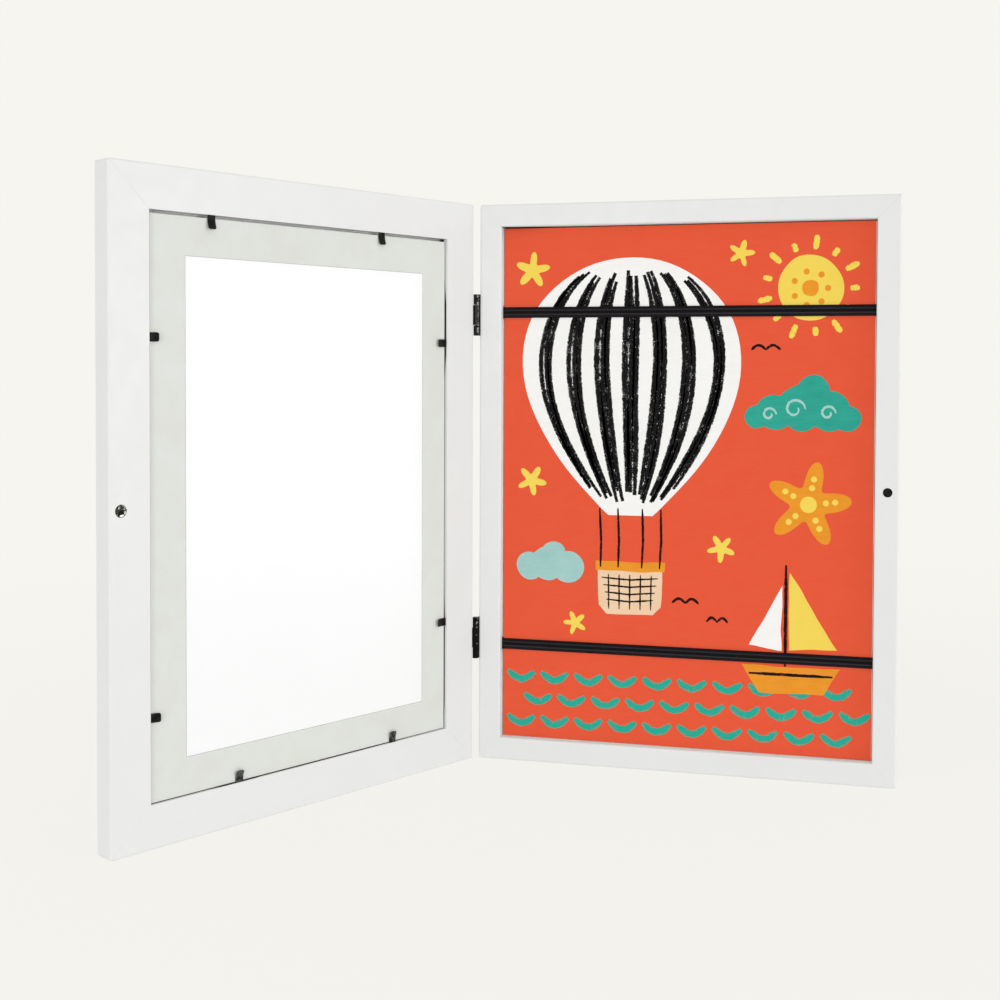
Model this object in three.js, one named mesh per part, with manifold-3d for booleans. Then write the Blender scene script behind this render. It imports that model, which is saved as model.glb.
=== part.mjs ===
// Front-opening frame for children's art, standing open like a book.
// A storage tray keeps a stack of A4 sheets under two elastic straps.
// A glazed door is hinged to the tray's left side and shuts on a pair of magnets.
// Millimetres, +Z up. The tray faces -Y and the origin is the middle of its bottom rail's underside.

import * as THREE from "three";
import { mergeVertices } from "three/addons/utils/BufferGeometryUtils.js";
import Module from "manifold-3d";

const wasm = await Module();
wasm.setup();

// Sheets kept in the tray
const sheetWidth = 210;
const sheetHeight = 297;
const frontSheetThickness = 0.4;
const stackThickness = 14;

// Tray
const trayWall = 13;
const sheetSideGap = 0.5;
const sheetFootGap = 0.3;
const sheetHeadGap = 0.7;
const trayHeadroom = 5;
const panelThickness = 3;
const panelSetback = 1.5;

// Door, from its front face to its inside face
const doorOpenAngle = 118.5;
const doorRail = 21.5;
const lipThickness = 6;
const lipReach = 5;
const glazingThickness = 2;
const matThickness = 2.2;
const matHingeBorder = 17.2;
const matFreeBorder = 19.6;
const matHeadBorder = 19;
const matFootBorder = 18.3;
const glazingSideGap = 0.6;
const glazingHeadGap = 0.7;
const glazingFootGap = 0.3;
const matHingeGap = 0.9;
const matFreeGap = 1.1;
const matHeadGap = 1.7;
const matFootGap = 0.5;
const pointRecess = 0.9;

// Flexible points, each with its distance from the door's hinge side or from its foot,
// and its reach over the mat
const pointThickness = 0.5;
const pointWidth = 4.4;
const pointDepth = 6;
const pointBend = 1.2;
const pointSplit = 0.3;
const pointCorner = 0.7;
const points = [
  { name: "hinge_side_upper", side: "left", along: 243.1, reach: 6.8 },
  { name: "hinge_side_lower", side: "left", along: 83.3, reach: 6.8 },
  { name: "free_side_upper", side: "right", along: 242.7, reach: 5.2 },
  { name: "free_side_lower", side: "right", along: 62.6, reach: 5.5 },
  { name: "top_outer", side: "top", along: 180.3, reach: 6.8 },
  { name: "top_inner", side: "top", along: 70.4, reach: 6.6 },
  { name: "bottom_outer", side: "bottom", along: 164.4, reach: 6 },
  { name: "bottom_inner", side: "bottom", along: 62.1, reach: 6.1 },
];

// Hinges
const hingeLength = 24;
const middleKnuckle = 11.6;
const knuckleGap = 0.2;
const pinRadius = 0.8;
const pinGap = 0.1;
const leafThickness = 0.85;
const leafWidth = 10;
const leafCorner = 1.2;
const leafClearance = 0.4;
const upperHingeDrop = 64;
const lowerHingeRise = 71;
const screwRadius = 1;
const screwLength = 9;
const screwTip = 2;
const screwEdge = 3.6;
const screwEnd = 5;

// Elastic straps and their staples
const strapWidth = 6.2;
const strapThickness = 0.6;
const strapTail = 10;
const strapRecess = 1.1;
const strapBend = 0.5;
const upperStrapDrop = 62.5;
const lowerStrapRise = 67.5;
const stapleWire = 0.4;
const stapleSide = 0.5;
const stapleLeg = 5;
const stapleInset = 3;

// Magnets
const doorMagnetRadius = 3;
const trayMagnetRadius = 2.5;
const magnetThickness = 3;
const magnetInset = 6.2;
const magnetChamfer = 0.3;

// Sawtooth hangers and their nails
const hangerLength = 45;
const hangerHeight = 9;
const hangerThickness = 0.8;
const hangerFoot = 7.5;
const hangerRise = 1.4;
const toothPitch = 2.6;
const toothDepth = 1.5;
const nailRadius = 0.7;
const nailHeadRadius = 1.7;
const nailHeadHeight = 0.7;
const nailLength = 11;
const nailTip = 1.4;

// Clearances and roundings
const seam = 0.5;
const seat = 0.15;
const glueLine = 0.03;
const slotGap = 0.1;
const arris = 1.2;
const cornerRadius = 1.8;
const arcSteps = 3;
const roundSteps = 16;
const overshoot = 1;
const mergeDistance = 1e-5;

// Sizes that follow from the ones above
const openingWidth = sheetWidth + 2 * sheetSideGap;
const openingHeight = sheetHeight + sheetFootGap + sheetHeadGap;
const frameWidth = openingWidth + 2 * trayWall;
const frameHeight = openingHeight + 2 * trayWall;
const trayDepth = trayHeadroom + frontSheetThickness + stackThickness + 2 * seat;
const trayLeft = -frameWidth / 2;
const trayRight = frameWidth / 2;
const trayFront = -trayDepth / 2;
const trayBack = trayDepth / 2;
const sheetFront = trayFront + trayHeadroom;
const sheetFoot = trayWall + sheetFootGap;
const panelFront = trayBack + seat;
const panelBack = panelFront + panelThickness;

const knuckleRadius = pinRadius + pinGap + leafThickness;
const pinOffset = knuckleRadius + seat;
const screwHeadRadius = screwRadius + leafThickness;
const hingeHeights = { upper: frameHeight - upperHingeDrop, lower: lowerHingeRise };
const strapHeights = { upper: frameHeight - upperStrapDrop, lower: lowerStrapRise };

const doorThickness = lipThickness + glazingThickness + matThickness + pointThickness
  + 3 * seat + pointRecess;
const doorInside = -seam / 2;
const doorFront = doorInside - doorThickness;
const glazingFront = doorFront + lipThickness + seat;
const matFront = glazingFront + glazingThickness + seat;
const matBack = matFront + matThickness;
const pointFront = matBack + seat;

// Finishes
const paintedWood = new THREE.MeshStandardMaterial({ color: 0xe9e9e8, roughness: 0.5 });
const hardboard = new THREE.MeshStandardMaterial({ color: 0x8a6a48, roughness: 0.85 });
const paper = new THREE.MeshStandardMaterial({ color: 0xf2efe6, roughness: 0.9 });
const picturePaper = new THREE.MeshStandardMaterial({ color: 0xe85c3d, roughness: 0.85 });
const elastic = new THREE.MeshStandardMaterial({ color: 0x1b1b1c, roughness: 0.9 });
const clearPlastic = new THREE.MeshStandardMaterial({
  color: 0xf7fbfb, roughness: 0.05, transparent: true, opacity: 0.25,
});
const matBoard = new THREE.MeshStandardMaterial({ color: 0xe3e3df, roughness: 0.9 });
const blackSteel = new THREE.MeshStandardMaterial({ color: 0x1d1d1f, roughness: 0.45, metalness: 0.7 });
const darkSteel = new THREE.MeshStandardMaterial({ color: 0x3a3a3c, roughness: 0.4, metalness: 0.85 });
const nickel = new THREE.MeshStandardMaterial({ color: 0x8c8c8e, roughness: 0.25, metalness: 1 });
const zincSteel = new THREE.MeshStandardMaterial({ color: 0xb4b4ae, roughness: 0.35, metalness: 0.9 });

// Joining and cutting

function toSolid(geometry) {
  const bare = geometry.clone();
  bare.deleteAttribute("normal");
  bare.deleteAttribute("uv");
  const merged = mergeVertices(bare, mergeDistance);
  return new wasm.Manifold(new wasm.Mesh({
    numProp: 3,
    vertProperties: new Float32Array(merged.attributes.position.array),
    triVerts: new Uint32Array(merged.index.array),
  }));
}

function toGeometry(solid) {
  const mesh = solid.getMesh();
  const geometry = new THREE.BufferGeometry();
  geometry.setAttribute("position", new THREE.BufferAttribute(new Float32Array(mesh.vertProperties), 3));
  geometry.setIndex(new THREE.BufferAttribute(new Uint32Array(mesh.triVerts), 1));
  geometry.computeVertexNormals();
  return geometry;
}

function cut(geometry, cutters) {
  let solid = toSolid(geometry);
  for (const cutter of cutters) {
    solid = solid.subtract(toSolid(cutter));
  }
  return toGeometry(solid);
}

function join(geometries) {
  let solid = toSolid(geometries[0]);
  for (const geometry of geometries.slice(1)) {
    solid = solid.add(toSolid(geometry));
  }
  return toGeometry(solid);
}

// Simple forms

// A box between two opposite corners.
function block(low, high) {
  const geometry = new THREE.BoxGeometry(high[0] - low[0], high[1] - low[1], high[2] - low[2]);
  geometry.translate((low[0] + high[0]) / 2, (low[1] + high[1]) / 2, (low[2] + high[2]) / 2);
  return geometry;
}

// A turned form: its profile of [radius, height] points, with the height along a direction from a start.
function turned(profile, start, direction) {
  const outline = profile.map(([radius, height]) => new THREE.Vector2(radius, height));
  const geometry = new THREE.LatheGeometry(outline, roundSteps);
  const turn = new THREE.Quaternion().setFromUnitVectors(new THREE.Vector3(0, 1, 0), direction);
  geometry.applyQuaternion(turn);
  geometry.translate(start.x, start.y, start.z);
  return geometry;
}

// A blind round hole from a point on a face into the material.
function hole(start, direction, radius, depth) {
  const profile = [[0, -overshoot], [radius, -overshoot], [radius, depth], [0, depth]];
  return turned(profile, start, direction);
}

// A closed outline of [x, y, radius] corners, each square to its neighbours, rounded by its radius.
function roundedOutline(corners) {
  const shape = new THREE.Shape();
  corners.forEach(([x, y, radius = 0], i) => {
    const corner = new THREE.Vector2(x, y);
    if (radius === 0) {
      if (i === 0) shape.moveTo(x, y);
      else shape.lineTo(x, y);
      return;
    }
    const before = corners[(i + corners.length - 1) % corners.length];
    const after = corners[(i + 1) % corners.length];
    const back = new THREE.Vector2(before[0] - x, before[1] - y).setLength(radius);
    const ahead = new THREE.Vector2(after[0] - x, after[1] - y).setLength(radius);
    const centre = corner.clone().add(back).add(ahead);
    const clockwise = back.cross(ahead) > 0;
    const from = ahead.clone().negate().angle();
    const to = back.clone().negate().angle();
    const start = corner.clone().add(back);
    if (i === 0) shape.moveTo(start.x, start.y);
    else shape.lineTo(start.x, start.y);
    shape.absarc(centre.x, centre.y, radius, from, to, clockwise);
  });
  shape.closePath();
  return shape;
}

function extruded(shape, depth) {
  return new THREE.ExtrudeGeometry(shape, { depth, bevelEnabled: false, curveSegments: arcSteps });
}

// Extrudes a shape, then lays its x, y and depth along three directions from a start.
function extrudedAlong(shape, depth, xWay, yWay, start) {
  const geometry = extruded(shape, depth);
  const depthWay = xWay.clone().cross(yWay);
  geometry.applyMatrix4(new THREE.Matrix4().makeBasis(xWay, yWay, depthWay).setPosition(start));
  return geometry;
}

function piece(name, geometry, material) {
  const mesh = new THREE.Mesh(geometry, material);
  mesh.name = name;
  return mesh;
}

const vector = (x, y, z) => new THREE.Vector3(x, y, z);
const right = vector(1, 0, 0);
const left = vector(-1, 0, 0);
const back = vector(0, 1, 0);
const front = vector(0, -1, 0);
const up = vector(0, 0, 1);
const down = vector(0, 0, -1);

// Mitred frames

const inward = { left: right, top: down, right: left, bottom: up };

// A rail of a mitred frame, from its profile: x runs in from the outer edge and y from the front face.
// Both ends are drawn back by as much as the profile reaches in, which makes the mitres.
function mitredRail(profile, side, frameLeft, frameFront) {
  const length = side === "left" || side === "right" ? frameHeight : frameWidth;
  const geometry = extruded(profile, length);
  const position = geometry.attributes.position;
  const halfGlue = glueLine * Math.SQRT1_2;
  for (let i = 0; i < position.count; i++) {
    const drawn = position.getX(i) + halfGlue;
    position.setZ(i, position.getZ(i) < length / 2 ? drawn : length - drawn);
  }
  const start = {
    left: vector(frameLeft, frameFront, 0),
    top: vector(frameLeft, frameFront, frameHeight),
    right: vector(frameLeft + frameWidth, frameFront, frameHeight),
    bottom: vector(frameLeft + frameWidth, frameFront, 0),
  }[side];
  const along = inward[side].clone().cross(back);
  geometry.applyMatrix4(new THREE.Matrix4().makeBasis(inward[side], back, along).setPosition(start));
  return geometry;
}

// Cutters that round the four outer corners of a mitred frame.
function cornerCutters(frameLeft, frameFront, depth) {
  const shape = new THREE.Shape();
  shape.moveTo(cornerRadius, -overshoot);
  shape.lineTo(cornerRadius, 0);
  shape.absarc(cornerRadius, cornerRadius, cornerRadius, 1.5 * Math.PI, Math.PI, true);
  shape.lineTo(-overshoot, cornerRadius);
  shape.lineTo(-overshoot, -overshoot);
  shape.closePath();
  const length = depth + 2 * overshoot;
  const frameRight = frameLeft + frameWidth;
  const backStart = frameFront + depth + overshoot;
  return [
    extrudedAlong(shape, length, right, up, vector(frameLeft, backStart, 0)),
    extrudedAlong(shape, length, up, left, vector(frameRight, backStart, 0)),
    extrudedAlong(shape, length, left, down, vector(frameRight, backStart, frameHeight)),
    extrudedAlong(shape, length, down, right, vector(frameLeft, backStart, frameHeight)),
  ];
}

// Tray

function trayRailProfile() {
  return roundedOutline([
    [0, 0, arris],
    [trayWall, 0, arris],
    [trayWall, trayDepth],
    [0, trayDepth, arris],
  ]);
}

function stapleLegHeights(strapHeight) {
  const spread = strapWidth / 2 + seat + stapleWire / 2;
  return [strapHeight - spread, strapHeight + spread];
}

const stapleBack = sheetFront + strapTail - stapleInset;
const strapFace = sheetFront - seat - strapThickness;

// Recesses in one side wall that take the ends of both straps and their staples.
function strapRecesses(side) {
  const wall = side * openingWidth / 2;
  const ends = [wall - side * overshoot, wall + side * strapRecess];
  return Object.values(strapHeights).map((strapHeight) => {
    const [lowLeg, highLeg] = stapleLegHeights(strapHeight);
    const reach = stapleWire / 2 + slotGap;
    return block(
      [Math.min(...ends), strapFace - slotGap, lowLeg - reach],
      [Math.max(...ends), sheetFront + strapTail + slotGap, highLeg + reach],
    );
  });
}

// Holes that take the legs of both staples on one side wall.
function stapleHoles(side) {
  const wall = side * openingWidth / 2;
  const holes = [];
  for (const strapHeight of Object.values(strapHeights)) {
    for (const legHeight of stapleLegHeights(strapHeight)) {
      const reach = stapleWire / 2 + slotGap;
      const ends = [wall - side * overshoot, wall + side * (stapleLeg + slotGap)];
      holes.push(block(
        [Math.min(...ends), stapleBack - stapleSide - slotGap, legHeight - reach],
        [Math.max(...ends), stapleBack + slotGap, legHeight + reach],
      ));
    }
  }
  return holes;
}

function hingeScrewHeights(hingeHeight) {
  const reach = hingeLength / 2 - screwEnd;
  return [hingeHeight - reach, hingeHeight + reach];
}

// Pilot holes in a hinge-side rail, on the side face that both leaves of a hinge lie against.
function pilotHoles(sideFace, screwY) {
  return Object.values(hingeHeights).flatMap(hingeScrewHeights).map((height) => (
    hole(vector(sideFace, screwY, height), right, screwRadius + slotGap, screwLength + slotGap)
  ));
}

const pinX = trayLeft - pinOffset;
const pinY = trayFront - seam / 2;
const screwFromPin = leafWidth - screwEdge;

const topHangerNails = [-1, 1].map((end) => (
  vector(end * (hangerLength - hangerFoot) / 2, panelBack, frameHeight - trayWall / 2)
));
const sideHangerNails = [-1, 1].map((end) => (
  vector(trayRight - trayWall / 2, panelBack, frameHeight / 2 + end * (hangerLength - hangerFoot) / 2)
));

function nailHole(place) {
  return hole(place, front, nailRadius + slotGap, nailLength + slotGap);
}

const trayMagnetPlace = vector(trayRight - magnetInset, trayFront, frameHeight / 2);

function addTrayRails(group) {
  const profile = trayRailProfile();
  const corners = cornerCutters(trayLeft, trayFront, trayDepth);
  const cuts = {
    left: [...strapRecesses(-1), ...stapleHoles(-1), ...pilotHoles(trayLeft, pinY + screwFromPin)],
    top: topHangerNails.map(nailHole),
    right: [
      ...strapRecesses(1),
      ...stapleHoles(1),
      ...sideHangerNails.map(nailHole),
      hole(trayMagnetPlace, back, trayMagnetRadius + slotGap, magnetThickness + slotGap),
    ],
    bottom: [],
  };
  for (const side of Object.keys(cuts)) {
    const rail = mitredRail(profile, side, trayLeft, trayFront);
    group.add(piece(`tray_${side}_rail`, cut(rail, [...corners, ...cuts[side]]), paintedWood));
  }
}

function addBackPanel(group) {
  const panel = block(
    [trayLeft + panelSetback, panelFront, panelSetback],
    [trayRight - panelSetback, panelBack, frameHeight - panelSetback],
  );
  const holes = [...topHangerNails, ...sideHangerNails].map(nailHole);
  group.add(piece("back_panel", cut(panel, holes), hardboard));
}

function addSheets(group) {
  const stackFront = sheetFront + frontSheetThickness + seat;
  const sheetTop = sheetFoot + sheetHeight;
  const half = sheetWidth / 2;
  const frontSheet = block(
    [-half, sheetFront, sheetFoot],
    [half, sheetFront + frontSheetThickness, sheetTop],
  );
  const stack = block([-half, stackFront, sheetFoot], [half, stackFront + stackThickness, sheetTop]);
  group.add(piece("front_sheet", frontSheet, picturePaper));
  group.add(piece("stored_sheets", stack, paper));
}

// A strap lies across the front sheet, and its tails turn back into recesses in the side walls.
function addStraps(group) {
  const outer = openingWidth / 2 + strapRecess - seat;
  const inner = outer - strapThickness;
  const under = sheetFront - seat;
  const tail = sheetFront + strapTail;
  const outline = roundedOutline([
    [-outer, tail],
    [-outer, strapFace, strapBend + strapThickness],
    [outer, strapFace, strapBend + strapThickness],
    [outer, tail],
    [inner, tail],
    [inner, under, strapBend],
    [-inner, under, strapBend],
    [-inner, tail],
  ]);
  for (const [place, height] of Object.entries(strapHeights)) {
    const strap = extrudedAlong(outline, strapWidth, right, back, vector(0, 0, height - strapWidth / 2));
    group.add(piece(`${place}_strap`, strap, elastic));
    for (const [sideName, side] of [["left", -1], ["right", 1]]) {
      group.add(piece(`${place}_strap_${sideName}_staple`, staple(side, height, inner), zincSteel));
    }
  }
}

// A staple straddles a strap's tail: its crown presses on the tail and its legs are in the wall.
function staple(side, strapHeight, strapInner) {
  const crownOuter = strapInner - seat - stapleWire;
  const crownInner = strapInner - seat;
  const tip = openingWidth / 2 + stapleLeg;
  const [lowLeg, highLeg] = stapleLegHeights(strapHeight);
  const bottom = lowLeg - stapleWire / 2;
  const top = highLeg + stapleWire / 2;
  const outline = roundedOutline([
    [crownOuter, bottom, stapleWire],
    [tip, bottom],
    [tip, bottom + stapleWire],
    [crownInner, bottom + stapleWire],
    [crownInner, top - stapleWire],
    [tip, top - stapleWire],
    [tip, top],
    [crownOuter, top, stapleWire],
  ].map(([x, z, radius]) => [side * x, z, radius]));
  return extrudedAlong(outline, stapleSide, right, up, vector(0, stapleBack, 0));
}

function magnet(start, direction, radius) {
  const profile = [
    [0, 0],
    [radius - magnetChamfer, 0],
    [radius, magnetChamfer],
    [radius, magnetThickness],
    [0, magnetThickness],
  ];
  return turned(profile, start, direction);
}

// A sawtooth hanger is a steel strip: two feet on the panel, a raised bar, and teeth along one edge.
// It is built lengthwise along x, with its teeth towards -z and the panel at y = 0.
function sawtoothHanger() {
  const half = hangerLength / 2;
  const footEnd = half - hangerFoot;
  const rampEnd = footEnd - hangerRise;
  const base = seat;
  const upper = base + hangerThickness;
  const side = new THREE.Shape();
  side.moveTo(-half, base);
  side.lineTo(-footEnd, base);
  side.lineTo(-rampEnd, base + hangerRise);
  side.lineTo(rampEnd, base + hangerRise);
  side.lineTo(footEnd, base);
  side.lineTo(half, base);
  side.lineTo(half, upper);
  side.lineTo(footEnd, upper);
  side.lineTo(rampEnd, upper + hangerRise);
  side.lineTo(-rampEnd, upper + hangerRise);
  side.lineTo(-footEnd, upper);
  side.lineTo(-half, upper);
  side.closePath();
  const strip = extrudedAlong(side, hangerHeight, right, back, vector(0, 0, -hangerHeight / 2));
  const notches = [];
  const toothCount = Math.floor(2 * (rampEnd - toothPitch / 2) / toothPitch);
  for (let i = 0; i < toothCount; i++) {
    const middle = (i - (toothCount - 1) / 2) * toothPitch;
    const notch = new THREE.Shape();
    notch.moveTo(middle - toothPitch / 2, -hangerHeight / 2 - overshoot);
    notch.lineTo(middle + toothPitch / 2, -hangerHeight / 2 - overshoot);
    notch.lineTo(middle + toothPitch / 2, -hangerHeight / 2);
    notch.lineTo(middle, -hangerHeight / 2 + toothDepth);
    notch.lineTo(middle - toothPitch / 2, -hangerHeight / 2);
    notch.closePath();
    const reach = hangerRise + hangerThickness + overshoot;
    notches.push(extrudedAlong(notch, 2 * reach, right, up, vector(0, reach, 0)));
  }
  const nailHoles = [-1, 1].map((end) => (
    hole(vector(end * (half - hangerFoot / 2), upper, 0), front, nailRadius + slotGap, upper + overshoot)
  ));
  return cut(strip, [...notches, ...nailHoles]);
}

// A nail through a hanger's foot and the panel into the rail, its head on the foot.
function nail(place) {
  const underHead = seat + hangerThickness + seat;
  const profile = [
    [0, underHead + nailHeadHeight],
    [nailHeadRadius / 2, underHead + nailHeadHeight],
    [nailHeadRadius, underHead + nailHeadHeight / 2],
    [nailHeadRadius, underHead],
    [nailRadius, underHead],
    [nailRadius, nailTip - nailLength],
    [0, -nailLength],
  ];
  return turned(profile.reverse(), place, back);
}

function addHangers(group) {
  const topHanger = sawtoothHanger();
  topHanger.translate(0, panelBack, frameHeight - trayWall / 2);
  group.add(piece("top_hanger", topHanger, zincSteel));
  const sideHanger = sawtoothHanger();
  sideHanger.rotateY(Math.PI / 2);
  sideHanger.translate(trayRight - trayWall / 2, panelBack, frameHeight / 2);
  group.add(piece("side_hanger", sideHanger, zincSteel));
  group.add(piece("top_hanger_left_nail", nail(topHangerNails[0]), zincSteel));
  group.add(piece("top_hanger_right_nail", nail(topHangerNails[1]), zincSteel));
  group.add(piece("side_hanger_lower_nail", nail(sideHangerNails[0]), zincSteel));
  group.add(piece("side_hanger_upper_nail", nail(sideHangerNails[1]), zincSteel));
}

// Hinges

// A hinge leaf around the pin at x = 0, y = 0, against a face at x = pinOffset.
// Its plate runs to leafWidth along the given way, and its knuckles are the given stretches of height.
function hingeLeaf(way, hingeHeight, plateOutline, knuckles) {
  const plateFace = knuckleRadius - leafThickness;
  const plate = extruded(plateOutline, leafThickness);
  plate.applyMatrix4(new THREE.Matrix4().makeBasis(way, right.clone().cross(way), right));
  plate.translate(plateFace, 0, hingeHeight);
  const barrels = knuckles.map(([low, high]) => (
    turned(
      [[0, 0], [knuckleRadius, 0], [knuckleRadius, high - low], [0, high - low]],
      vector(0, 0, hingeHeight + low),
      up,
    )
  ));
  const bore = hole(
    vector(0, 0, hingeHeight - hingeLength / 2),
    up,
    pinRadius + pinGap,
    hingeLength + overshoot,
  );
  const countersinks = hingeScrewHeights(hingeHeight).map((height) => {
    const outerRadius = screwHeadRadius + slotGap;
    const innerRadius = screwRadius + slotGap;
    const profile = [
      [0, -overshoot],
      [outerRadius, -overshoot],
      [outerRadius, 0],
      [innerRadius, leafThickness],
      [innerRadius, leafThickness + overshoot],
      [0, leafThickness + overshoot],
    ];
    return turned(profile, vector(plateFace, 0, height).addScaledVector(way, screwFromPin), right);
  });
  return cut(join([plate, ...barrels]), [bore, ...countersinks]);
}

// The tray leaf has the two outer knuckles and the door leaf the middle one.
// The outlines are drawn with x along the plate from the pin, and y up or down along the hinge.
function addHinge(place, tray, door) {
  const height = hingeHeights[place];
  const half = hingeLength / 2;
  const middle = middleKnuckle / 2;
  const outerStart = middle + knuckleGap;
  const clear = knuckleRadius + leafClearance;
  const trayOutline = roundedOutline([
    [0, -half],
    [leafWidth, -half, leafCorner],
    [leafWidth, half, leafCorner],
    [0, half],
    [0, outerStart],
    [clear, outerStart],
    [clear, -outerStart],
    [0, -outerStart],
  ]);
  const doorOutline = roundedOutline([
    [clear, -half],
    [leafWidth, -half, leafCorner],
    [leafWidth, half, leafCorner],
    [clear, half],
    [clear, middle],
    [0, middle],
    [0, -middle],
    [clear, -middle],
  ]);
  const trayLeaf = hingeLeaf(back, height, trayOutline, [[-half, -outerStart], [outerStart, half]]);
  trayLeaf.translate(pinX, pinY, 0);
  tray.add(piece(`${place}_hinge_tray_leaf`, trayLeaf, blackSteel));
  const doorLeaf = hingeLeaf(front, height, doorOutline, [[-middle, middle]]);
  door.add(piece(`${place}_hinge_door_leaf`, doorLeaf, blackSteel));

  const pinProfile = [
    [0, 0],
    [pinRadius - pinGap, 0],
    [pinRadius, pinGap],
    [pinRadius, hingeLength - pinGap],
    [pinRadius - pinGap, hingeLength],
    [0, hingeLength],
  ];
  const pin = turned(pinProfile, vector(pinX, pinY, height - half), up);
  tray.add(piece(`${place}_hinge_pin`, pin, blackSteel));

  hingeScrewHeights(height).forEach((screwHeight, i) => {
    const level = ["lower", "upper"][i];
    const headFace = knuckleRadius - leafThickness + slotGap;
    const trayPlace = vector(pinX + headFace, pinY + screwFromPin, screwHeight);
    const doorPlace = vector(headFace, -screwFromPin, screwHeight);
    tray.add(piece(`${place}_hinge_tray_${level}_screw`, leafScrew(trayPlace), blackSteel));
    door.add(piece(`${place}_hinge_door_${level}_screw`, leafScrew(doorPlace), blackSteel));
  });
}

// A countersunk wood screw, its head flush in the leaf and its shank in the rail.
function leafScrew(place) {
  const coneEnd = leafThickness;
  const shankEnd = leafThickness + seat + screwLength - screwTip - slotGap;
  const profile = [
    [0, 0],
    [screwHeadRadius, 0],
    [screwRadius, coneEnd],
    [screwRadius, shankEnd],
    [0, shankEnd + screwTip],
  ];
  return turned(profile, place, right);
}

// Door, drawn shut with the hinge pin at x = 0, y = 0

function doorRailProfile() {
  return roundedOutline([
    [0, 0, arris],
    [doorRail + lipReach, 0, arris],
    [doorRail + lipReach, lipThickness],
    [doorRail, lipThickness],
    [doorRail, doorThickness],
    [0, doorThickness, arris],
  ]);
}

// Where a point enters the wall of the rebate, at mid-width and on its front side.
function pointPlace({ side, along }) {
  const innerLeft = pinOffset + doorRail;
  const innerRight = pinOffset + frameWidth - doorRail;
  return {
    left: vector(innerLeft, pointFront, along),
    right: vector(innerRight, pointFront, along),
    top: vector(pinOffset + along, pointFront, frameHeight - doorRail),
    bottom: vector(pinOffset + along, pointFront, doorRail),
  }[side];
}

// A flat strip from one distance to another along a point's way in, thickened towards the door's inside.
function pointStrip(point, from, to, halfWidth, endRadius, spare) {
  const way = inward[point.side];
  const outline = roundedOutline([
    [from, -halfWidth],
    [to, -halfWidth, endRadius],
    [to, halfWidth, endRadius],
    [from, halfWidth],
  ]);
  const across = back.clone().cross(way);
  const start = pointPlace(point).addScaledVector(back, -spare);
  return extrudedAlong(outline, pointThickness + 2 * spare, way, across, start);
}

function pointSlots(side) {
  return points.filter((point) => point.side === side).map((point) => (
    pointStrip(point, -pointDepth - slotGap, overshoot, pointWidth / 2 + slotGap, 0, slotGap)
  ));
}

// Each point's shank is in the rail, and its tongue lies over the mat beyond the bend line.
function addPoints(group) {
  for (const point of points) {
    const shank = pointStrip(point, -pointDepth, pointBend - pointSplit, pointWidth / 2, 0, 0);
    const corner = Math.min(pointCorner, pointWidth / 2 - slotGap);
    const tongue = pointStrip(point, pointBend, point.reach, pointWidth / 2, corner, 0);
    group.add(piece(`${point.name}_point_shank`, shank, darkSteel));
    group.add(piece(`${point.name}_point_tongue`, tongue, darkSteel));
  }
}

const doorMagnetPlace = vector(pinOffset + frameWidth - magnetInset, doorInside, frameHeight / 2);

function addDoorRails(group) {
  const profile = doorRailProfile();
  const corners = cornerCutters(pinOffset, doorFront, doorThickness);
  const names = { left: "hinge", top: "top", right: "free", bottom: "bottom" };
  for (const side of Object.keys(names)) {
    const cutters = [...corners, ...pointSlots(side)];
    if (side === "left") cutters.push(...pilotHoles(pinOffset, -screwFromPin));
    if (side === "right") {
      cutters.push(hole(doorMagnetPlace, front, doorMagnetRadius + slotGap, magnetThickness + slotGap));
    }
    const rail = mitredRail(profile, side, pinOffset, doorFront);
    group.add(piece(`door_${names[side]}_rail`, cut(rail, cutters), paintedWood));
  }
}

function addGlazing(group) {
  const low = pinOffset + doorRail + glazingSideGap;
  const high = pinOffset + frameWidth - doorRail - glazingSideGap;
  const foot = doorRail + glazingFootGap;
  const head = frameHeight - doorRail - glazingHeadGap;
  const pane = block([low, glazingFront, foot], [high, glazingFront + glazingThickness, head]);
  group.add(piece("glazing", pane, clearPlastic));
}

// The mat's window is bevelled, and widens towards the glazing.
function addMat(group) {
  const low = pinOffset + doorRail + matHingeGap;
  const high = pinOffset + frameWidth - doorRail - matFreeGap;
  const foot = doorRail + matFootGap;
  const head = frameHeight - doorRail - matHeadGap;
  const board = block([low, matFront, foot], [high, matBack, head]);
  const window = block(
    [low + matHingeBorder, matFront - overshoot, foot + matFootBorder],
    [high - matFreeBorder, matBack + overshoot, head - matHeadBorder],
  );
  const position = window.attributes.position;
  const middle = vector((low + high) / 2, 0, (foot + head) / 2);
  for (let i = 0; i < position.count; i++) {
    const widening = matBack - position.getY(i);
    position.setX(i, position.getX(i) + Math.sign(position.getX(i) - middle.x) * widening);
    position.setZ(i, position.getZ(i) + Math.sign(position.getZ(i) - middle.z) * widening);
  }
  group.add(piece("mat", cut(board, [window]), matBoard));
}

const tray = new THREE.Group();
const door = new THREE.Group();
addTrayRails(tray);
addBackPanel(tray);
addSheets(tray);
addStraps(tray);
tray.add(piece("tray_magnet", magnet(trayMagnetPlace, back, trayMagnetRadius), blackSteel));
addHangers(tray);
addHinge("upper", tray, door);
addHinge("lower", tray, door);
addDoorRails(door);
addGlazing(door);
addMat(door);
addPoints(door);
door.add(piece("door_magnet", magnet(doorMagnetPlace, front, doorMagnetRadius), nickel));
door.position.set(pinX, pinY, 0);
door.rotation.z = -THREE.MathUtils.degToRad(doorOpenAngle);

const artFrame = new THREE.Group();
artFrame.add(tray, door);

export default artFrame;
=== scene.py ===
"""Looks of the front-opening picture frame: camera, light, materials and the fine pieces on the solids."""

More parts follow.
